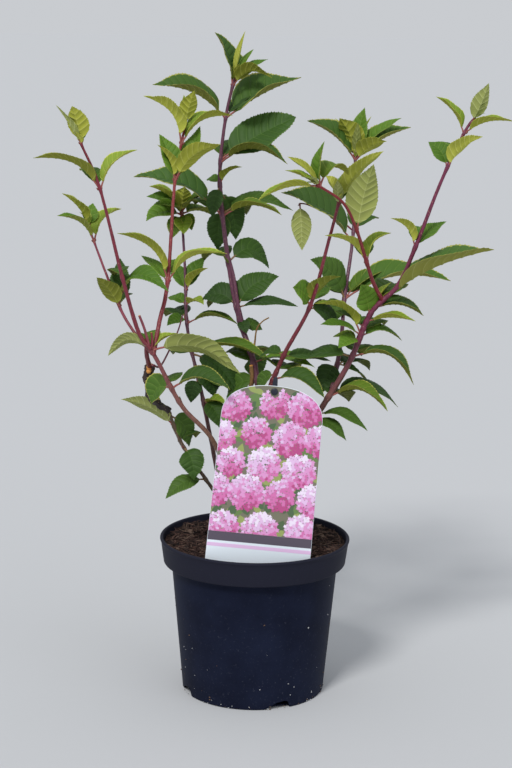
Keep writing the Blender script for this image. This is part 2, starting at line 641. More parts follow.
class Batch:
    """Many small closed shapes that become one joined mesh. Their points are in millimetres."""

    def __init__(self):
        self.points = []
        self.faces = []
        self.slots = []
        self.materials = []

    def slot(self, material):
        """The number of a material in this mesh."""
        if material not in self.materials:
            self.materials.append(material)
        return self.materials.index(material)

    def add(self, points, faces, slots):
        """slots is one material number, or one for each face."""
        start = len(self.points)
        self.points.extend(np.asarray(points, float).tolist())
        self.faces.extend([[start + corner for corner in face] for face in faces])
        self.slots.extend([slots] * len(faces) if isinstance(slots, int) else slots)

    def build(self, name, sharp=50.0):
        """The object made of all shapes; edges sharper than sharp degrees stay sharp."""
        mesh = bpy.data.meshes.new(name)
        scaled = (np.array(self.points) * MM).tolist()
        mesh.from_pydata(scaled, [], self.faces)
        for material in self.materials:
            mesh.materials.append(material)
        mesh.polygons.foreach_set("material_index", self.slots)
        mesh.update()
        shaded(mesh, sharp)
        return placed(name, mesh)


def finished(obj, slot, *nodes):
    """Hands a piece to the frame: it rides on the one body and stands for its solids."""
    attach(obj, "root")
    if nodes:
        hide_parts(*nodes)


def unit(vector):
    return vector / max(np.linalg.norm(vector), TINY)


def square_to(vector, axis):
    """The part of a vector that is square to an axis, as a unit vector."""
    return unit(vector - np.dot(vector, axis) * axis)


def smooth_curve(points, step):
    """Points about a step apart along the smooth curve through the given ones (Catmull-Rom)."""
    knots = [np.array(point, float) for point in points]
    knots = [2 * knots[0] - knots[1], *knots, 2 * knots[-1] - knots[-2]]
    samples = []
    for before, start, end, after in zip(knots, knots[1:], knots[2:], knots[3:]):
        count = max(2, round(np.linalg.norm(end - start) / step))
        for t in np.arange(count) / count:
            samples.append(0.5 * (
                2 * start + (end - before) * t
                + (2 * before - 5 * start + 4 * end - after) * t**2
                + (3 * start - before - 3 * end + after) * t**3
            ))
    samples.append(knots[-2])
    return np.array(samples)


def lengths_along(points):
    """The distance of each point from the first, along the curve."""
    return np.concatenate(([0.0], np.cumsum(np.linalg.norm(np.diff(points, axis=0), axis=1))))


def tangents(points):
    """The direction of a curve at each of its points."""
    ahead = np.gradient(points, axis=0)
    return ahead / np.maximum(np.linalg.norm(ahead, axis=1, keepdims=True), TINY)


def ring_frames(points):
    """Two directions across a curve at each point, which turn as little as they can along it."""
    ahead = tangents(points)
    across = [square_to(ASKEW, ahead[0])]
    for direction in ahead[1:]:
        across.append(square_to(across[-1], direction))
    across = np.array(across)
    return across, np.cross(ahead, across)


def ring_faces(rings, sides):
    """The faces of a closed tube whose points come ring by ring."""
    faces = []
    for ring in range(rings - 1):
        for side in range(sides):
            low, following = ring * sides, (side + 1) % sides
            faces.append((low + side, low + following, low + sides + following, low + sides + side))
    faces.append(tuple(range(sides - 1, -1, -1)))
    faces.append(tuple((rings - 1) * sides + side for side in range(sides)))
    return faces


def tube_shape(points, radii, sides):
    """A closed round limb. radii is one for each point, or one for each point and side."""
    across, around = ring_frames(points)
    turn = np.arange(sides) * math.tau / sides
    radii = np.broadcast_to(np.asarray(radii, float).reshape(len(points), -1), (len(points), sides))
    offsets = (
        across[:, None, :] * np.cos(turn)[None, :, None] + around[:, None, :] * np.sin(turn)[None, :, None]
    )
    rings = points[:, None, :] + offsets * radii[:, :, None]
    return rings.reshape(-1, 3), ring_faces(len(points), sides)


# ---------------------------------------------------------------- stems

STEM_STEP = 1.6
STEM_SIDES = 14
NODE_SWELL = 0.28  # how much thicker a stem is at a node, as a share of its radius
NODE_REACH = 2.6
FOOT_FLARE = 0.45
FOOT_REACH = 9.0
RELIEF = {"wood": 0.2, "stub": 0.34, "dry": 0.12}  # depth of the ridges, as a share of the radius
YOUNG_RELIEF = 0.05
TWIG_RELIEF = 0.08
RIDGES = 1.6  # how finely broad and narrow ridges divide a limb's girth
FINE_RIDGES = 4.0
RIDGE_DRIFT = 0.12  # how fast ridges change along the limb, and fine ones against broad ones
FINE_DRIFT = 5.0
FOOT_SINK = 3.0  # how far a stem's foot starts under the top of the compost's solid
STEM_NOISE = 3.7  # how far the ridges of one limb lie from those of the next in the noise
TWIG_NOISE = 2.3
DOME_HEIGHT = 1.6  # at most, and at most half the limb's radius
DOME = ((-0.2, 0.96), (0.35, 0.98), (0.6, 0.72), (0.75, 0.2))  # rise and radius of a cut's face, as shares
SCARS = ((-103.6, 338.0, 2.7), (-103.9, 334.4, 2.5))  # bare wood on the front of the stub: x, z, radius
SCAR_DOME = ((-47.0, 1.0), (-49.5, 0.95), (-50.8, 0.7), (-51.6, 0.2))  # y, and share of the radius


def node_heights(stem):
    """The heights at which leaves leave a stem."""
    return sorted({leaf[0] for leaves in LEAVES.get(stem, {}).values() for leaf in leaves})


def place_at(points, height):
    """The point of a rising stem at one height, and its direction there."""
    place = np.array([np.interp(height, points[:, 2], points[:, axis]) for axis in range(3)])
    ahead = tangents(points)
    direction = np.array([np.interp(height, points[:, 2], ahead[:, axis]) for axis in range(3)])
    return place, unit(direction)


def stem_radii(points, foot, tip, nodes):
    """Radius along a stem: its taper, a flare on the compost and a swelling at each node."""
    along = lengths_along(points)
    radii = foot + (tip - foot) * (along / along[-1])
    if points[0][2] <= SOIL_TOP + 1.0:
        radii = radii * (1.0 + FOOT_FLARE * np.exp(-along / FOOT_REACH))
    swell = np.zeros(len(points))
    for height in nodes:
        here = np.interp(height, points[:, 2], along)
        swell = np.maximum(swell, NODE_SWELL * np.exp(-((along - here) / NODE_REACH) ** 2))
    return radii * (1.0 + swell)


def with_relief(radii, depth, seed):
    """Radii for each point and side, ridged along the limb as bark is."""
    turn = np.arange(STEM_SIDES) * math.tau / STEM_SIDES
    rows = []
    for index, radius in enumerate(radii):
        rise = index * STEM_STEP * RIDGE_DRIFT
        row = []
        for angle in turn:
            (x, y), (fine_x, fine_y) = polar(RIDGES, angle), polar(FINE_RIDGES, angle)
            broad = noise.noise(Vector((x + seed, y, rise)))
            fine = noise.noise(Vector((fine_x, fine_y + seed, rise * FINE_DRIFT)))
            row.append(radius * (1.0 + depth * broad * 2.0 + depth * fine))
        rows.append(row)
    return np.array(rows)


def build_stem(name, index, barks):
    """One limb, from under the compost or inside its bough to its tip; its curve."""
    points, (foot, tip), bark = STEMS[name]
    curve = smooth_curve(points, STEM_STEP)
    if curve[0][2] <= SOIL_TOP:
        curve[0][2] = SOIL_TOP - FOOT_SINK
    radii = stem_radii(curve, foot, tip, node_heights(name))
    radii = with_relief(radii, RELIEF.get(bark, YOUNG_RELIEF), index * STEM_NOISE)
    batch = Batch()
    batch.add(*tube_shape(curve, radii, STEM_SIDES), batch.slot(barks[bark]))
    slot = "old_bark" if bark in ("wood", "stub") else "young_bark"
    finished(batch.build(name + "_limb"), slot, name)
    return curve


def build_twigs(barks):
    """The pruned stubs, links and slender twigs, joined; their curves by name."""
    batch = Batch()
    curves = {}
    for index, (name, (points, (foot, tip), bark)) in enumerate(TWIGS.items()):
        curve = curves[name] = smooth_curve(points, STEM_STEP)
        radii = np.linspace(foot, tip, len(curve))
        radii = with_relief(radii, RELIEF.get(bark, TWIG_RELIEF), index * TWIG_NOISE + 0.5)
        batch.add(*tube_shape(curve, radii, STEM_SIDES), batch.slot(barks[bark]))
    finished(batch.build("cut_stubs_and_twigs"), "young_bark")
    return curves


def build_cuts(curves):
    """The domed faces of old cuts, one on the old stub and one on each cut twig, and the stub's scars."""
    ends = [(curves["old_stub"], STEMS["old_stub"][1][1])]
    for name in ("fork_stub", "fork_spur", "cane_twin", "yellow_stub"):
        ends.append((curves[name], TWIGS[name][1][1]))
    batch = Batch()
    wood = batch.slot(plain_paint("cut_wood", CUT_WOOD_COLOUR, 0.7, 900.0, 0.4))
    for curve, radius in ends:
        ahead = unit(curve[-1] - curve[-2])
        rises, shares = np.array(DOME).T
        points = curve[-1] + rises[:, None] * ahead * min(radius * 0.5, DOME_HEIGHT)
        batch.add(*tube_shape(points, radius * shares, STEM_SIDES), wood)
    for x, z, radius in SCARS:
        points = np.array([(x, y, z) for y, _ in SCAR_DOME])
        shares = np.array([share for _, share in SCAR_DOME])
        batch.add(*tube_shape(points, radius * shares, STEM_SIDES), wood)
    finished(batch.build("cut_faces"), "old_bark")


# ---------------------------------------------------------------- leaves

ACROSS = np.array((0.0, 0.24, 0.48, 0.72, 0.93, 1.0))  # columns of a wing, from the midrib to the margin
VEIN_WIDTH = 0.55
MIDRIB_WIDTH = 0.62
BLADE_THICKNESS = 0.42
WING_LEAN = 0.04  # how much one wing can be wider than the other, as a share
TOOTH_DEPTH = 0.5  # for the smallest blades; it grows with the width, up to a share of the width
TOOTH_GROWTH = 0.012
TOOTH_LIMIT = 0.05
TOOTH_REACH = 0.007  # how far a tooth points forward, as a share of the length
# Shares of the blade's width: its waves, the bulge between its side veins and how deep its veins lie.
RIPPLE = 0.036
QUILT = 0.02
VEIN_SINK = 0.008
VEIN_KEEL = 0.22  # how far side veins and midrib stand out below, in millimetres
MIDRIB_KEEL = 0.6
VEIN_PAIRS = ((60, 8), (42, 7), (24, 5), (0, 3))  # on blades longer than this many millimetres
FIRST_VEIN = 0.035  # share of the blade where the first side vein leaves the midrib
VEIN_SPAN = 0.85
VEIN_CROWDING = 0.92  # below 1, the veins crowd towards the tip
ROW_SLANT = 0.22  # how far a side vein runs forward on its way to the margin, as a share of the blade
TEETH = (-1.0, 0.55, -1.0, 1.0, -1.0, 1.0)  # margin in and out, for the rows of one vein
BETWEEN_VEINS = (0.2, 0.42, 0.62, 0.82)
TIP_ROWS = (0.93, 0.965, 0.985, 1.0)  # beyond the last vein
TWIST_SPREAD = 14  # either way, in degrees, along a blade
FOLD_SPREAD = 3
PETIOLE_SPREAD = (0.9, 1.1)
PETIOLE_SIDES = 8
PETIOLE_RADIUS = 0.45  # for the smallest blades; it grows with the width, up to a limit
PETIOLE_GROWTH = 0.022
PETIOLE_LIMIT = 1.1
PETIOLE_TAPER = (1.5, 1.15, 1.0, 0.95, 0.9, 0.88, 0.8, 0.65, 0.35)
BUD_SIZES = (2.2, 3.6)
BUD_PLACE = (1.2, 0.8)  # out from the stem's middle towards the leaf, and on along the stem
BUD_LEAN = 0.6
BUD_TAPER = (0.5, 0.95, 1.0, 0.8, 0.45, 0.08)
TIP_LEAVES = 4
TIP_LEAF_SIZES = (13, 20)
TIP_SHRINKING = 0.12  # of each pair against the last
TIP_SPREAD = (0.22, 0.42)  # angle from the stem, in radians
TIP_LEAF_WIDTH = 0.32  # as a share of the length
TIP_ARCH = 1.5
TIP_FOLD = 34.0
TIP_KINDS = {
    "left_shoot": "lime", "outer_shoot": "lime", "inner_shoot": "pale", "back_left_stem": "leaf",
    "tall_stem": "lime", "mid_right_stem": "lime", "side_shoot": "pale", "back_right_stem": "lime",
    "right_bough": "pale",
}

# For each kind: share of its length that is petiole, where it is widest, how long its point is drawn
# out, how far its margins curl back, and the paint of its petiole.
KINDS = {
    "old": (0.12, 0.70, 1.15, 0.7, "petiole_olive"),
    "edged": (0.13, 0.70, 1.15, 0.35, "petiole_rose"),
    "broad": (0.13, 0.72, 1.0, 0.35, "petiole_rose"),
    "stalked": (0.21, 0.70, 1.1, 0.35, "petiole_rose"),
    "leaf": (0.13, 0.70, 1.15, 0.5, "petiole_rose"),
    "olive": (0.14, 0.72, 1.15, 0.35, "petiole_rose"),
    "lime": (0.14, 0.78, 1.15, 0.3, "petiole_rose"),
    "pale": (0.11, 0.72, 1.15, 0.45, "petiole_rose"),
}


def blade_rows(pairs, length):
    """The rows of a blade: where each leaves the midrib, its tooth, its rise between veins, and whether
    the stretch that follows it is a side vein."""
    starts, teeth, rise, vein = [0.0], [0.0], [0.0], [False]
    bases = FIRST_VEIN + VEIN_SPAN * (np.arange(pairs) / pairs) ** VEIN_CROWDING
    ends = [*bases[1:], TIP_ROWS[0]]
    for base, end in zip(bases, ends):
        width = min(VEIN_WIDTH / length, (end - base) * 0.3)
        shares = (0.0, width / (end - base), *BETWEEN_VEINS)
        for place, (share, tooth) in enumerate(zip(shares, TEETH)):
            starts.append(base + (end - base) * share)
            teeth.append(tooth)
            rise.append(math.sin(math.pi * share) if place > 1 else 0.0)
            vein.append(place == 0)
    beyond = [0.0] * len(TIP_ROWS)
    vein += [False] * len(TIP_ROWS)
    return np.array([*starts, *TIP_ROWS]), np.array(teeth + beyond), np.array(rise + beyond), vein


def outline(along, broad, drawn):
    """Half width of a blade at each share of its length, 1 at its widest."""
    widest = broad / (broad + drawn)
    peak = widest**broad * (1 - widest) ** drawn
    inside = np.clip(along, 0.0, 1.0)
    return inside**broad * (1 - inside) ** drawn / peak


def midline(root, reach, arch):
    """The curve that petiole and midrib follow from the node to the tip of the leaf."""
    ahead = unit(reach)
    rise = square_to(UP, ahead)
    share = np.linspace(0.0, 1.0, 49)
    hump = np.sin(math.pi * share**0.94)
    return root + np.outer(share, reach) + np.outer(hump * arch, rise)


def blade_directions(curve, reach, turn, twist):
    """For each point of the midline: the way across, and the way that the upper face looks."""
    ahead = unit(reach)
    face = math.cos(turn) * square_to(UP, ahead) + math.sin(turn) * square_to(FRONT, ahead)
    upper, side = [], []
    for direction, share in zip(tangents(curve), np.linspace(0.0, 1.0, len(curve))):
        normal = square_to(face, direction)
        over = np.cross(direction, normal)
        angle = twist * (share - 0.35)
        upper.append(math.cos(angle) * normal + math.sin(angle) * over)
        side.append(math.cos(angle) * over - math.sin(angle) * normal)
    return np.array(side), np.array(upper)


def read_at(curve, share):
    """Values of a curve sampled evenly from 0 to 1, at any shares."""
    places = np.linspace(0.0, 1.0, len(curve))
    return np.stack([np.interp(share, places, curve[:, axis]) for axis in range(3)], axis=-1)


def vein_pairs(length):
    """How many pairs of side veins show on a blade."""
    return next(pairs for least, pairs in VEIN_PAIRS if length > least)


def blade_grid(starts, teeth, rise, width, fold, kind, rng):
    """For each row and column of a blade: its share of the length, its way across and its way up."""
    _, broad, drawn, curl, _ = KINDS[kind]
    slant = ROW_SLANT * np.minimum(1.0, starts / 0.25) * (1 - starts) ** 0.7
    depth = min(TOOTH_DEPTH + TOOTH_GROWTH * width, TOOTH_LIMIT * width)
    fade = np.clip((starts - 0.03) / 0.1, 0, 1)
    waves = [(rng.uniform(0, math.tau), rng.uniform(1.1, 1.9)) for _ in range(2)]
    lean = rng.uniform(-WING_LEAN, WING_LEAN)
    ripple = RIPPLE * width * rng.uniform(0.6, 1.4)
    rib = MIDRIB_WIDTH / 2 * (1 - 0.75 * starts)
    columns = []
    for hand, (phase, rate) in zip((-1, 1), waves):
        reach = outline(starts + slant, broad, drawn) * (width / 2 * (1 + hand * lean))
        for share in ACROSS[::hand]:
            along = starts + slant * share**1.2
            out = rib + np.maximum(reach - rib, 0.0) * share
            if share == 1.0:
                along = along + TOOTH_REACH * np.maximum(teeth, 0.0) * fade
                out = out + depth * teeth * fade * 0.5 * np.minimum(1.0, reach / 4)
            angle = fold * (1 - curl * share)
            quilt = QUILT * width * rise * math.sin(math.pi * min(1.0, share * 0.95))
            sunk = -VEIN_SINK * width * (rise == 0) * (share < 0.95)
            wave = ripple * np.sin(math.tau * rate * along + phase) * share**2
            up = out * np.sin(angle) + quilt + sunk + wave * np.minimum(1.0, reach / 5)
            columns.append((along, hand * out * np.cos(angle), up))
    return (np.stack(values, 1) for values in zip(*columns))


def under_relief(starts, vein, columns, width):
    """How far the veins and the midrib stand out under a blade, for each row and column."""
    raised = np.array([vein[row] or (row > 0 and vein[row - 1]) for row in range(len(starts))], float)
    keel = np.zeros(columns)
    keel[columns // 2 - 1:columns // 2 + 1] = MIDRIB_KEEL
    relief = VEIN_KEEL * raised[:, None] * (np.abs(np.linspace(-1, 1, columns)) < 0.93) + keel
    return relief * np.clip(1.1 - starts, 0.1, 1)[:, None] * min(1.0, width / 14)


def blade_shape(curve, side, upper, petiole, width, fold, kind, rng):
    """Points, faces and face kinds of one blade: two skins that meet at the toothed margin."""
    length = lengths_along(curve)[-1] * (1 - petiole)
    starts, teeth, rise, vein = blade_rows(vein_pairs(length), length)
    along, outward, upward = blade_grid(starts, teeth, rise, width, fold, kind, rng)
    places = petiole + (1 - petiole) * np.clip(along, 0.0, 1.0)
    centre, across, up = (read_at(values, places) for values in (curve, side, upper))
    skin = centre + across * outward[:, :, None] + up * upward[:, :, None]
    thin = BLADE_THICKNESS / 2 * np.clip(1.25 - along, 0.3, 1.0)[:, :, None]
    relief = under_relief(starts, vein, along.shape[1], width)[:, :, None]
    return stitched(skin + up * thin, skin - up * (thin + relief), vein)


def stitched(top, bottom, vein):
    """Two grids of points joined round their edge, with a face kind for each face."""
    rows, count, _ = top.shape
    below = rows * count
    faces, kinds = [], []
    middle = count // 2 - 1
    for row in range(rows - 1):
        for column in range(count - 1):
            a, b = row * count + column, row * count + column + 1
            c, d = b + count, a + count
            ribbed = vein[row] or column == middle
            rim = column in (0, count - 2)
            faces.append((a, b, c, d))
            kinds.append(RIM if rim else UPPER_VEIN if ribbed else UPPER)
            faces.append((below + d, below + c, below + b, below + a))
            kinds.append(UNDER_VEIN if ribbed else UNDER)
    ring = [(0, column) for column in range(count)]
    ring += [(row, count - 1) for row in range(1, rows)]
    ring += [(rows - 1, column) for column in range(count - 2, -1, -1)]
    ring += [(row, 0) for row in range(rows - 2, 0, -1)]
    corners = [row * count + column for row, column in ring]
    for here, following in zip(corners, corners[1:] + corners[:1]):
        faces.append((following, here, below + here, below + following))
        kinds.append(UNDER)
    return np.concatenate([top.reshape(-1, 3), bottom.reshape(-1, 3)]), faces, kinds


def petiole_shape(curve, upper, petiole, width):
    """The leaf's stalk, from inside the stem to a little way along under the blade."""
    share = np.linspace(0.0, petiole + 0.05, len(PETIOLE_TAPER))
    thick = min(PETIOLE_RADIUS + PETIOLE_GROWTH * width, PETIOLE_LIMIT)
    radii = thick * np.array(PETIOLE_TAPER)
    drop = np.clip((share - petiole + 0.03) / 0.06, 0.0, 1.0) * (BLADE_THICKNESS * 0.9)
    points = read_at(curve, share) - read_at(upper, share) * drop[:, None]
    return tube_shape(points, radii, PETIOLE_SIDES)


class Foliage:
    """The blades of one stem, and the petioles and buds of the whole plant."""

    def __init__(self, paints, stalks, stalk_paints):
        self.paints = paints
        self.blades = Batch()
        self.stalks = stalks
        self.stalk_paints = stalk_paints

    def leaf(self, root, reach, arch, width, turn, fold, kind, rng):
        """One leaf, its numbers as in LEAVES."""
        reach = np.array(reach, float)
        petiole = KINDS[kind][0] * rng.uniform(*PETIOLE_SPREAD)
        curve = midline(root, reach, arch)
        twist = math.radians(rng.uniform(-TWIST_SPREAD, TWIST_SPREAD))
        turn = math.radians(turn)
        fold = math.radians(fold + rng.uniform(-FOLD_SPREAD, FOLD_SPREAD))
        side, upper = blade_directions(curve, reach, turn, twist)
        points, faces, kinds = blade_shape(curve, side, upper, petiole, width, fold, kind, rng)
        shade = rng.randrange(len(SHADES[kind]))
        slots = [self.blades.slot(material) for material in self.paints[kind, shade]]
        slots.append(slots[UNDER_VEIN if kind in PALE_RIMS else UPPER_VEIN])
        self.blades.add(points, faces, [slots[face] for face in kinds])
        stalk = self.stalks.slot(self.stalk_paints[KINDS[kind][4]])
        self.stalks.add(*petiole_shape(curve, upper, petiole, width), stalk)

    def bud(self, root, ahead, size):
        """A pointed bud in the angle between leaf and stem."""
        share = np.linspace(0.0, 1.0, len(BUD_TAPER))
        points = root + np.outer(share * size, ahead)
        radii = size * 0.3 * np.array(BUD_TAPER)
        self.stalks.add(*tube_shape(points, radii, 6), self.stalks.slot(self.stalk_paints["bud_scale"]))


def tip_tuft(foliage, curve, kind, rng):
    """The unopened young leaves at a stem's tip: small erect pairs, each pair across the last."""
    ahead = unit(curve[-1] - curve[-3])
    first = square_to(FRONT, ahead)
    second = np.cross(ahead, first)
    for index in range(TIP_LEAVES):
        angle = index * math.pi + (index // 2) * math.pi / 2 + rng.uniform(-0.5, 0.5)
        outward = math.cos(angle) * first + math.sin(angle) * second
        size = rng.uniform(*TIP_LEAF_SIZES) * (1.0 - TIP_SHRINKING * (index // 2))
        spread = rng.uniform(*TIP_SPREAD)
        reach = (ahead * math.cos(spread) + outward * math.sin(spread)) * size
        root = curve[-1] - ahead * 2.0
        foliage.leaf(root, reach, TIP_ARCH, size * TIP_LEAF_WIDTH, 0.0, TIP_FOLD, kind, rng)


def build_foliage(curves):
    """Every leaf with its bud, and the tufts at the tips: one piece for each stem, one for all stalks."""
    stalk_paints = {name: plain_paint(name, *look, 900.0, 0.2) for name, look in STALKS.items()}
    paints = leaf_paints()
    stalks = Batch()
    for stem, masses in LEAVES.items():
        foliage = Foliage(paints, stalks, stalk_paints)
        curve = curves[stem]
        for mass, leaves in masses.items():
            for index, (height, reach, *shape) in enumerate(leaves):
                rng = random.Random(f"{SEED} {mass}_leaves {index}")
                root, ahead = place_at(curve, height)
                foliage.leaf(root, reach, *shape, rng)
                outward = square_to(np.array(reach, float), ahead)
                place = root + outward * BUD_PLACE[0] + ahead * BUD_PLACE[1]
                foliage.bud(place, unit(ahead + outward * BUD_LEAN), rng.uniform(*BUD_SIZES))
        if stem in TIP_KINDS:
            tip_tuft(foliage, curve, TIP_KINDS[stem], random.Random(f"{SEED} {stem}"))
        nodes = [mass + "_leaves" for mass in masses]
        finished(foliage.blades.build(stem + "_foliage"), "foliage", *nodes)
    finished(stalks.build("petioles_and_buds"), "young_bark")


# ---------------------------------------------------------------- pot and compost

POT_SIDES = 160
WALL_TOP = BAND_FOOT - 5.0
LIP_RADIUS = 1.5
NOTCH_ROUNDING = 0.9
BED_RISE = 3.2  # how far the loose surface lies over the solid
BED_DIP = 5.5  # how much lower it lies in front of the label
BED_DIP_FROM = 54.0  # distance in front of the pot's middle where the dip starts
BED_DIP_RUN = 22.0
BED_UNEVENNESS = ((34.0, 3.1, 1.8), (7.0, 8.4, 1.3), (2.6, 1.7, 0.5))  # grain, place in the noise, rise
BED_RADIUS = RIM_RADIUS - 4.6
BED_FOOT_RADIUS = SHOULDER_RADIUS - 2.5
BED_FOOT = BAND_FOOT - 8.0
BED_EDGE = RIM_RADIUS - 5.5  # fibres stay inside it
BED_RINGS = 44
BED_SPOKES = 120
FIBRES = 3300
FIBRE_REACH = 88.0
FIBRE_LENGTHS = (6.0, 21.0)
FIBRE_RADII = (0.28, 0.75)
CHIPS = 420
CHIP_REACH = 87.0
CHIP_SIZES = (0.8, 2.9)
STRAWS = 9
STRAW_PATCH = ((-76, -56), (22, 46))
STRAW_HEIGHTS = (7.0, 13.0)
STRAW_RADIUS = 0.34
LITTER_BROWNS = (
    (38, 28, 26), (52, 37, 34), (66, 48, 43), (82, 61, 54), (27, 21, 21), (100, 82, 72),
)
CRUMBS_ON_POT = 150
CRUMB_SIZES = (0.25, 0.75)
CRUMBS_UP_TO = 118.0


def turned_shape(profile, sides):
    """A solid of revolution; the profile's (radius, height) points start and end on the axis."""
    turn = np.arange(sides) * math.tau / sides
    points, rings = [], []
    for radius, height in profile:
        if radius == 0.0:
            rings.append([len(points)] * sides)
            points.append((0.0, 0.0, height))
        else:
            rings.append(list(range(len(points), len(points) + sides)))
            points.extend((*polar(radius, angle), height) for angle in turn)
    faces = []
    for lower, upper in zip(rings, rings[1:]):
        for side in range(sides):
            following = (side + 1) % sides
            corners = (lower[side], upper[side], upper[following], lower[following])
            faces.append(tuple(dict.fromkeys(corners)))
    return points, faces


def arc(centre, radius, start, end, count):
    """Points of an arc in a profile, from one angle to another in degrees."""
    return [spot(centre, radius, angle) for angle in np.radians(np.linspace(start, end, count))]


def wall_radius(share):
    """Outer radius of the pot's tapered wall, from 0 at its foot to 1 at its shoulder."""
    return FOOT_RADIUS + (SHOULDER_RADIUS - FOOT_RADIUS) * share


def pot_profile():
    """The pot's section, from the middle of its underside, up the outside, over the lip and down."""
    outside = [(0.0, 0.0), (FOOT_RADIUS - 10.0, 0.0), *arc((FOOT_RADIUS - 1.6, 1.6), 1.6, -90, -4, 6)]
    for share in np.linspace(0.08, 1.0, 9):
        outside.append((wall_radius(share), 2.0 + (WALL_TOP - 2.0) * share))
    outside += [
        (SHOULDER_RADIUS + 0.5, BAND_FOOT - 3.2), (SHOULDER_RADIUS + 2.2, BAND_FOOT - 1.6),
        (RIM_RADIUS - 6.6, BAND_FOOT - 0.9), *arc((RIM_RADIUS - 5.0, BAND_FOOT + 0.8), 1.4, -80, -8, 5),
        (RIM_RADIUS - 2.6, BAND_FOOT + 8.0), (RIM_RADIUS - 1.4, POT_HEIGHT - 8.0),
        (RIM_RADIUS - 1.0, POT_HEIGHT - 4.2),
    ]
    lip_centre = (RIM_RADIUS - LIP_RADIUS, POT_HEIGHT - LIP_RADIUS - 0.2)
    outside += arc(lip_centre, LIP_RADIUS + 0.15, -50, 200, 12)
    inside = [
        (RIM_RADIUS - WALL - 2.0, POT_HEIGHT - 6.0), (RIM_RADIUS - 6.2, BAND_FOOT + 3.0),
        (SHOULDER_RADIUS, BAND_FOOT), (SHOULDER_RADIUS - WALL, BAND_FOOT - 4.0),
        (FOOT_RADIUS - WALL - 0.6, 3.4), (FOOT_RADIUS - WALL - 2.2, WALL), (0.0, WALL),
    ]
    return outside + inside


def build_pot():
    """The turned pot, with a drainage notch cut into each quarter of its foot."""
    batch = Batch()
    batch.add(*turned_shape(pot_profile(), POT_SIDES), batch.slot(pot_paint()))
    pot = batch.build("pot_moulding", 40.0)
    face_outwards(pot.data)
    for index, angle in enumerate(NOTCH_ANGLES):
        cut_notch(pot, math.radians(angle), index)
    graph = bpy.context.evaluated_depsgraph_get()
    cut = bpy.data.meshes.new_from_object(pot.evaluated_get(graph))
    pot.modifiers.clear()
    pot.data = cut
    for cutter in [obj for obj in bpy.data.objects if obj.name.startswith("notch_")]:
        bpy.data.objects.remove(cutter, do_unlink=True)
    shaded(cut, 32)
    finished(pot, "pot", "pot")


def cut_notch(pot, angle, index):
    """Cuts a drainage notch into the foot: a prism of the notch's outline with rounded edges."""
    count = len(NOTCH_OUTLINE)
    points = []
    for out in (-NOTCH_DEPTH / 2, NOTCH_DEPTH / 2):
        points += [(out * MM, along * MM, up * MM) for along, up in NOTCH_OUTLINE]
    faces = [tuple(range(count)), tuple(reversed(range(count, 2 * count)))]
    for corner in range(count):
        following = (corner + 1) % count
        faces.append((following, corner, corner + count, following + count))
    mesh = bpy.data.meshes.new("notch")
    mesh.from_pydata(points, [], faces)
    notch = placed(f"notch_{index}", mesh)
    notch.location = (*polar(FOOT_RADIUS * MM, angle), 0.0)
    notch.rotation_euler = (0.0, 0.0, angle)
    bevel = notch.modifiers.new("round", "BEVEL")
    bevel.width = NOTCH_ROUNDING * MM
    bevel.segments = 3
    notch.hide_render = True
    cut = pot.modifiers.new(notch.name, "BOOLEAN")
    cut.operation = "DIFFERENCE"
    cut.object = notch


def soil_height(x, y):
    """The uneven top of the compost, in millimetres."""
    front = min(1.0, max(0.0, -(y + BED_DIP_FROM) / BED_DIP_RUN))
    height = SOIL_TOP + BED_RISE - BED_DIP * front
    for grain, place, rise in BED_UNEVENNESS:
        height += rise * noise.noise(Vector((x / grain, y / grain, place)))
    return height


def build_bed():
    """The compost: its uneven top and the wall that goes down inside the pot."""
    points = [(0.0, 0.0, soil_height(0.0, 0.0))]
    for ring in range(1, BED_RINGS + 1):
        radius = BED_RADIUS * ring / BED_RINGS
        for spoke in range(BED_SPOKES):
            x, y = polar(radius, math.tau * (spoke + 0.5 * (ring % 2)) / BED_SPOKES)
            points.append((x, y, soil_height(x, y)))
    for spoke in range(BED_SPOKES):
        points.append((*polar(BED_FOOT_RADIUS, math.tau * spoke / BED_SPOKES), BED_FOOT))
    faces = [(0, 1 + spoke, 1 + (spoke + 1) % BED_SPOKES) for spoke in range(BED_SPOKES)]
    for ring in range(BED_RINGS):
        low, high = 1 + ring * BED_SPOKES, 1 + (ring + 1) * BED_SPOKES
        for spoke in range(BED_SPOKES):
            following = (spoke + 1) % BED_SPOKES
            faces.append((low + spoke, high + spoke, high + following, low + following))
    last = 1 + BED_RINGS * BED_SPOKES
    faces.append(tuple(last + spoke for spoke in range(BED_SPOKES - 1, -1, -1)))
    batch = Batch()
    batch.add(points, faces, batch.slot(compost_paint()))
    finished(batch.build("compost_bed", 80.0), "compost", "soil")


def crumb_shape(place, size, rng):
    """A small uneven lump with eight corners."""
    points = []
    for x, y, z in ((x, y, z) for z in (-1, 1) for y in (-1, 1) for x in (-1, 1)):
        shape = (x * rng.uniform(0.5, 1.0), y * rng.uniform(0.5, 1.0), z * rng.uniform(0.35, 0.8))
        points.append(shape)
    turn = Matrix.Rotation(rng.uniform(0, math.tau), 3, "Z") @ Matrix.Rotation(rng.uniform(0, 1.2), 3, "X")
    corners = [np.array(turn @ Vector(point)) * size + place for point in points]
    faces = ((0, 2, 3, 1), (4, 5, 7, 6), (0, 1, 5, 4), (2, 6, 7, 3), (0, 4, 6, 2), (1, 3, 7, 5))
    return corners, faces


def bed_spot(rng, reach):
    """A random place on the compost, up to a distance from its middle."""
    return polar(reach * math.sqrt(rng.random()), rng.uniform(0, math.tau))


def on_bed(x, y, rise):
    """The point so far above the compost at a place."""
    return np.array((x, y, soil_height(x, y) + rise))


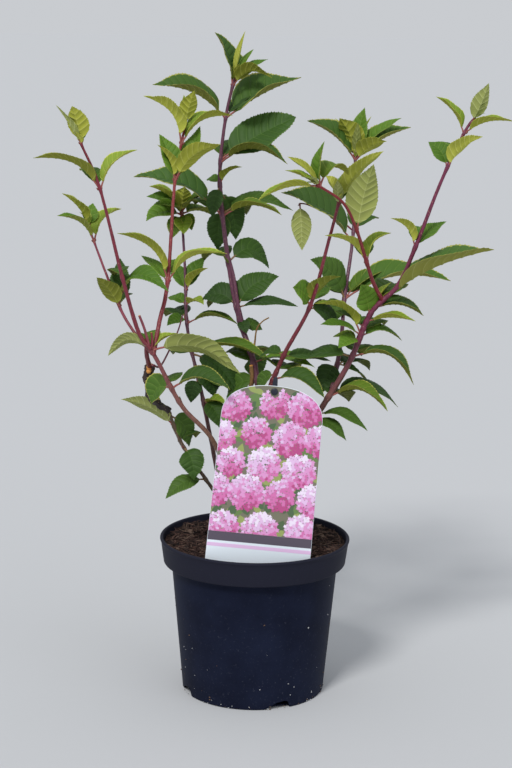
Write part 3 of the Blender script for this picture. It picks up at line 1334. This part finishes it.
def add_fibre(batch, rng, browns):
    """A curved fibre that lies on the compost, unless it would lie in front of the label."""
    x, y = bed_spot(rng, FIBRE_REACH)
    heading = rng.uniform(0, math.tau)
    length = rng.uniform(*FIBRE_LENGTHS)
    ahead = np.array((*polar(1.0, heading), rng.uniform(-0.1, 0.35)))
    side = np.array((-math.sin(heading), math.cos(heading), 0.0))
    share = np.linspace(-0.5, 0.5, 4)
    points = on_bed(x, y, 0.6) + np.outer(share * length, ahead)
    points += np.outer((0.25 - share**2) * rng.uniform(-1, 1) * length * 0.5, side)
    reach = np.hypot(points[:, 0], points[:, 1]).max()
    if reach > BED_EDGE:
        points[:, :2] *= BED_EDGE / reach
    if points[:, 1].min() < LABEL_FOOT[1] - 1.0:
        return
    radii = rng.uniform(*FIBRE_RADII) * np.array((0.5, 1.0, 1.0, 0.4))
    batch.add(*tube_shape(points, radii, 4), rng.choice(browns))


def build_litter():
    """Fibres, upright straws and bark chips on the compost."""
    rng = random.Random(SEED)
    batch = Batch()
    browns = [
        batch.slot(plain_paint(f"litter_{index}", colour, 0.9, 800.0, 0.4, 0.2))
        for index, colour in enumerate(LITTER_BROWNS)
    ]
    for _ in range(FIBRES):
        add_fibre(batch, rng, browns)
    for _ in range(STRAWS):
        x, y = (rng.uniform(*span) for span in STRAW_PATCH)
        foot = on_bed(x, y, -1.0)
        ahead = np.array((rng.uniform(-0.25, 0.25), rng.uniform(-0.25, 0.25), 1.0))
        points = foot + np.outer(np.linspace(0.0, rng.uniform(*STRAW_HEIGHTS), 4), ahead)
        batch.add(*tube_shape(points, STRAW_RADIUS * np.array((1.0, 1.0, 0.9, 0.5)), 4), browns[-1])
    for _ in range(CHIPS):
        x, y = bed_spot(rng, CHIP_REACH)
        size = rng.uniform(*CHIP_SIZES)
        if y > LABEL_FOOT[1] + 3.0:
            batch.add(*crumb_shape(on_bed(x, y, 0.3), size, rng), rng.choice(browns))
    finished(batch.build("compost_litter", 30.0), "compost")


def build_pot_crumbs():
    """Dry crumbs of compost and grit that cling to the outside of the pot, most of them low down."""
    rng = random.Random(SEED + 1)
    batch = Batch()
    brown = batch.slot(plain_paint("dry_crumb", CRUMB_COLOUR, 0.95, 900.0, 0.3, 0.2))
    grey = batch.slot(plain_paint("grit", GRIT_COLOUR, 0.8, 900.0, 0.2, 0.3))
    for _ in range(CRUMBS_ON_POT):
        height = 1.0 + CRUMBS_UP_TO * rng.random() ** 4.0
        place = np.array((*polar(wall_radius(height / WALL_TOP), rng.uniform(0, math.tau)), height))
        batch.add(*crumb_shape(place, rng.uniform(*CRUMB_SIZES), rng), rng.choice((brown, grey)))
    finished(batch.build("pot_crumbs", 30.0), "compost")


# ---------------------------------------------------------------- label

ARCH_POINTS = 40
CARD_ROUNDING = 0.2
HOLE_SIDES = 24
HOLE_CLEARANCE = 3.9
PRINT_RISE = 0.05
PRINT_SINK = 0.01
PRINT_BORDER = 0.3
PICTURE_BORDER = 0.35
PANEL_TOP = 29.0
STRIPE = (23.0, 26.5)
BAND_TOP = 38.0
PRINTED_LEAVES = 150
PRINTED_LEAF_LENGTHS = (11, 19)
HEAD_SPACING = 35.0
HEAD_RISE = 30.0
HEAD_SHIFT = 4
HEAD_RADII = (14.0, 18.5)
HEAD_TONES = (-0.8, 0.7)
FLORET_RADII = (1.9, 2.9)
FLORET_SPACING = 1.65
FLORET_TURN = 2.4
FLORET_LIFT = 0.0003
# Inks of the print: its ground, leaves, florets from deep to pale, and the dark band.
INKS = {
    "ground": (118, 116, 98),
    "green_0": (104, 132, 76),
    "green_1": (80, 104, 72),
    "green_2": (150, 164, 96),
    "pink_0": (186, 78, 136),
    "pink_1": (212, 116, 176),
    "pink_2": (222, 154, 206),
    "pink_3": (228, 192, 230),
    "pink_4": (240, 226, 246),
    "band": (86, 78, 92),
}

STAKE_BEHIND = LABEL_THICKNESS + 1.6  # from the label's front to the middle of the stake
# The stake from its point up: how far below its top, as a share of its length, and half its width there.
STAKE = ((1.0, 0.4), (0.93, 2.6), (0.5, 2.6), (0.03, 2.6), (0.008, 2.2), (0.0, 1.4))
# The button and its pin from behind: distance in front of the label's face, and radius.
BUTTON = ((-2.8, 1.9), (-0.4, 1.9), (0.1, 3.3), (0.5, 3.5), (1.3, 3.3), (1.7, 2.6), (1.85, 0.9))
BUTTON_SIDES = 20


def tapered(across, up):
    """Distance from the label's axis, for a card that is narrower at its top."""
    return across * (1.0 - LABEL_TAPER * up / LABEL_HEIGHT)


def on_label(across, up, out=0.0):
    """A place on the leaning label, out being towards the front, in millimetres."""
    x, y, z = LABEL_FOOT
    across = tapered(across, up)
    front = LABEL_THICKNESS / 2
    return np.array((
        x + across * math.cos(LABEL_LEAN) + up * math.sin(LABEL_LEAN),
        y - front - out,
        z - across * math.sin(LABEL_LEAN) + up * math.cos(LABEL_LEAN),
    ))


def arch_height(across, inset=0.0):
    """Height of the label's arched top above its foot, at a distance from its middle."""
    half = LABEL_WIDTH / 2 - inset
    share = min(1.0, abs(across) / half)
    lift = (1 - share ** (2 / LABEL_CURVE)) ** (LABEL_CURVE / 2) if share < 1.0 else 0.0
    return LABEL_HEIGHT - inset - LABEL_ARCH * (1 - lift)


def label_outline(inset, foot):
    """The label's edge, set in by a distance, from its lower left corner round by the right."""
    half = LABEL_WIDTH / 2 - inset
    edge = [(-half, foot), (half, foot)]
    for index in range(ARCH_POINTS + 1):
        angle = math.pi * index / ARCH_POINTS
        across = half * math.copysign(abs(math.cos(angle)) ** LABEL_CURVE, math.cos(angle))
        edge.append((across, LABEL_HEIGHT - inset - LABEL_ARCH * (1 - math.sin(angle) ** LABEL_CURVE)))
    return edge


def build_label_card():
    """The plastic plate, with its hole and softly rounded edges."""
    curve = bpy.data.curves.new("label_card", "CURVE")
    curve.dimensions = "2D"
    curve.fill_mode = "BOTH"
    curve.bevel_depth = CARD_ROUNDING * MM
    curve.bevel_resolution = 2
    curve.offset = -CARD_ROUNDING * MM
    curve.extrude = (LABEL_THICKNESS / 2 - CARD_ROUNDING) * MM
    turns = [math.tau * index / HOLE_SIDES for index in range(HOLE_SIDES)]
    hole = [spot((0.0, LABEL_HOLE), LABEL_HOLE_RADIUS, angle) for angle in turns]
    for points in (label_outline(0.0, 0.0), hole):
        spline = curve.splines.new("POLY")
        spline.points.add(len(points) - 1)
        for point, (across, up) in zip(spline.points, points):
            point.co = (tapered(across, up) * MM, up * MM, 0.0, 1.0)
        spline.use_cyclic_u = True
    guide = placed("label_guide", curve)
    guide.location = Vector(LABEL_FOOT) * MM
    guide.rotation_euler = (math.radians(90), LABEL_LEAN, 0.0)
    bpy.context.view_layer.update()
    graph = bpy.context.evaluated_depsgraph_get()
    mesh = bpy.data.meshes.new_from_object(guide.evaluated_get(graph))
    mesh.transform(guide.matrix_world)
    bpy.data.objects.remove(guide, do_unlink=True)
    face_outwards(mesh, 0.00001)
    mesh.materials.clear()
    mesh.materials.append(label_paint())
    shaded(mesh, 40)
    finished(placed("label_card", mesh), "label", "label")


def flat_shape(edge, out, rise=0.0):
    """A printed shape as a thin closed plate; edge is its (across, up) points, anticlockwise."""
    count = len(edge)
    front = [on_label(across, up, out) for across, up in edge]
    back = [on_label(across, up, -PRINT_SINK) for across, up in edge]
    middle = np.mean(np.array(edge), axis=0)
    points = front + back + [on_label(middle[0], middle[1], out + rise)]
    faces = [(index, (index + 1) % count, 2 * count) for index in range(count)]
    faces += [
        (index, count + index, count + (index + 1) % count, (index + 1) % count) for index in range(count)
    ]
    faces.append(tuple(range(2 * count - 1, count - 1, -1)))
    return points, faces


def floret_edge(centre, radius, start):
    """A small floret of five pointed lobes."""
    radii = (radius, radius * 0.58)
    return [spot(centre, radii[index % 2], start + math.tau * index / 10) for index in range(10)]


def printed_leaf_edge(centre, length, angle):
    """A plain leaf with two pointed ends."""
    edge = []
    for hand in (-1, 1):
        for share in np.linspace(0.0, 1.0, 6)[:-1]:
            along = share if hand < 0 else 1.0 - share
            over = hand * length * 0.26 * math.sin(math.pi * along**0.8)
            out = length * (along - 0.5)
            edge.append((
                centre[0] + out * math.cos(angle) - over * math.sin(angle),
                centre[1] + out * math.sin(angle) + over * math.cos(angle),
            ))
    return edge


def held_in_picture(edge):
    """A printed shape cut off at the border of the picture panel, or None where it isn't drawn."""
    limit = LABEL_WIDTH / 2 - PICTURE_BORDER
    held = []
    for across, up in edge:
        if math.hypot(across, up - LABEL_HOLE) < HOLE_CLEARANCE:
            return None
        across = min(max(across, -limit), limit)
        held.append((across, min(max(up, BAND_TOP + 0.3), arch_height(across, PICTURE_BORDER))))
    spans = np.ptp(np.array(held), axis=0)
    return held if min(spans) > 0.5 else None


def flower_heads(rng):
    """Middle, radius and tone of each round head, in staggered rows from the top down."""
    heads = []
    for row, up in enumerate(np.arange(LABEL_HEIGHT - 20.0, BAND_TOP, -HEAD_RISE)):
        first = -HEAD_SPACING * (1.5 if row % 2 else 1.0)
        for across in np.arange(first, HEAD_SPACING * 1.6, HEAD_SPACING):
            middle = tuple(place + rng.uniform(-HEAD_SHIFT, HEAD_SHIFT) for place in (across, up))
            heads.append((middle, rng.uniform(*HEAD_RADII), rng.uniform(*HEAD_TONES)))
    return heads


def strip(low, high):
    """The edge of a band across the whole label."""
    half = LABEL_WIDTH / 2 - PRINT_BORDER
    return [(-half, low), (half, low), (half, high), (-half, high)]


def add_flower_head(batch, rng, head, lift, pinks):
    """The florets of a head, the inner ones on top, pale at its upper left; returns the next lift."""
    middle, radius, tone = head
    count = round((radius / FLORET_SPACING) ** 2)
    for index in range(count, 0, -1):
        across, up = polar(radius * math.sqrt(index / count), index * FLORET_TURN)
        centre = (middle[0] + across, middle[1] + up)
        floret = floret_edge(centre, rng.uniform(*FLORET_RADII), rng.uniform(0, math.tau))
        edge = held_in_picture(floret)
        if edge:
            light = 2.0 + tone + (1.7 * up - 0.7 * across) / radius + rng.uniform(-1.0, 1.0)
            batch.add(*flat_shape(edge, lift, 0.05), pinks[min(4, max(0, round(light)))])
            lift += FLORET_LIFT
    return lift


def build_print():
    """Round heads of florets over leaves and green, above a dark band and a striped pale panel."""
    rng = random.Random(SEED + 2)
    batch = Batch()
    inks = {
        name: batch.slot(plain_paint("print_" + name, colour, 0.36, 400.0, 0.05, 0.5))
        for name, colour in INKS.items()
    }
    greens = [ink for name, ink in inks.items() if name.startswith("green")]
    pinks = [ink for name, ink in inks.items() if name.startswith("pink")]
    batch.add(*flat_shape(label_outline(PRINT_BORDER, BAND_TOP), PRINT_RISE), inks["ground"])
    batch.add(*flat_shape(strip(PANEL_TOP, BAND_TOP - 0.1), PRINT_RISE), inks["band"])
    batch.add(*flat_shape(strip(*STRIPE), PRINT_RISE), inks["pink_3"])
    for _ in range(PRINTED_LEAVES):
        centre = (rng.uniform(-49, 49), rng.uniform(BAND_TOP, LABEL_HEIGHT))
        leaf = printed_leaf_edge(centre, rng.uniform(*PRINTED_LEAF_LENGTHS), rng.uniform(0, math.tau))
        edge = held_in_picture(leaf)
        if edge:
            batch.add(*flat_shape(edge, PRINT_RISE * 2 + rng.uniform(0, 0.03), 0.02), rng.choice(greens))
    lift = PRINT_RISE * 3
    for head in flower_heads(rng):
        lift = add_flower_head(batch, rng, head, lift, pinks)
    finished(batch.build("label_print", 60.0), "label")


def stake_section(half):
    """The stake's section, grooved behind: across and thick, for half its width."""
    deep = min(1.2, half * 0.5)
    section = (
        (half, 0.5), (half - 0.5, deep), (0.0, deep * 0.6), (0.5 - half, deep),
        (-half, 0.5), (-half, -0.5), (0.5 - half, -deep), (half - 0.5, -deep),
    )
    shrink = 0.3 if half < 0.5 else 1.0
    return [(across * shrink, thick * shrink) for across, thick in section]


def build_peg():
    """The stake behind the label and the button that holds it."""
    batch = Batch()
    dark = batch.slot(plain_paint("peg_plastic", PEG_COLOUR, 0.38, 600.0, 0.15, 0.5))
    points = []
    for share, half in STAKE:
        for across, thick in stake_section(half):
            points.append(on_label(across, PEG_TOP - PEG_LENGTH * share, -STAKE_BEHIND - thick))
    batch.add(points, ring_faces(len(STAKE), len(points) // len(STAKE)), dark)
    pin = np.array([on_label(0.0, LABEL_HOLE, out) for out, _ in BUTTON])
    batch.add(*tube_shape(pin, [radius for _, radius in BUTTON], BUTTON_SIDES), dark)
    finished(batch.build("label_stake", 40.0), "peg", "label_peg")


# ---------------------------------------------------------------- stage

CAMERA_PLACE = (0.0, -1.742, 0.669)
CAMERA_PITCH = math.radians(11.54)
CAMERA_YAW = math.radians(0.03)
CAMERA_ROLL = math.radians(0.80)
CAMERA_LENS = 84.375
FLOOR_RADIUS = 60.0  # metres
# Each light: its direction, strength, spread in degrees and colour.
SUNS = {
    "key": ((0.55, 1.35, -1.55), 2.0, 14.0, (1.0, 0.985, 0.96)),
    "fill": ((-1.7, 1.5, -0.8), 0.42, 50.0, (0.94, 0.97, 1.0)),
}
SKY_COLOUR = (0.925, 0.955, 1.0, 1.0)
SKY_STRENGTH = 0.63


def build_camera():
    data = bpy.data.cameras.new("camera")
    data.lens = CAMERA_LENS
    data.sensor_width = 36.0
    data.dof.use_dof = False
    camera = placed("camera", data)
    camera.matrix_world = (
        Matrix.Translation(CAMERA_PLACE)
        @ Matrix.Rotation(CAMERA_YAW, 4, "Z")
        @ Matrix.Rotation(math.pi / 2 - CAMERA_PITCH, 4, "X")
        @ Matrix.Rotation(CAMERA_ROLL, 4, "Z")
    )
    bpy.context.scene.camera = camera


def sun(name, direction, strength, spread, colour):
    """Even light from one side; a wide spread gives soft shadows."""
    data = bpy.data.lights.new(name, "SUN")
    data.energy = strength
    data.angle = math.radians(spread)
    data.color = colour
    light = placed(name, data)
    light.rotation_euler = Vector(direction).to_track_quat("-Z", "Y").to_euler()


def build_stage():
    bpy.ops.mesh.primitive_circle_add(vertices=96, radius=FLOOR_RADIUS, fill_type="NGON")
    floor = bpy.context.object
    floor.name = "floor"
    floor.data.materials.append(floor_paint())
    for name, light in SUNS.items():
        sun(name, *light)
    world = bpy.data.worlds.new("studio")
    world.use_nodes = True
    sky = world.node_tree.nodes["Background"]
    sky.inputs["Color"].default_value = SKY_COLOUR
    sky.inputs["Strength"].default_value = SKY_STRENGTH
    bpy.context.scene.world = world
    bpy.context.scene.view_settings.view_transform = "Standard"


def main():
    build_camera()
    build_stage()
    barks = {name: bark_paint(name) for name in BARKS}
    curves = {name: build_stem(name, index, barks) for index, name in enumerate(STEMS)}
    curves.update(build_twigs(barks))
    build_cuts(curves)
    build_foliage(curves)
    build_pot()
    build_bed()
    build_litter()
    build_pot_crumbs()
    build_label_card()
    build_print()
    build_peg()


main()
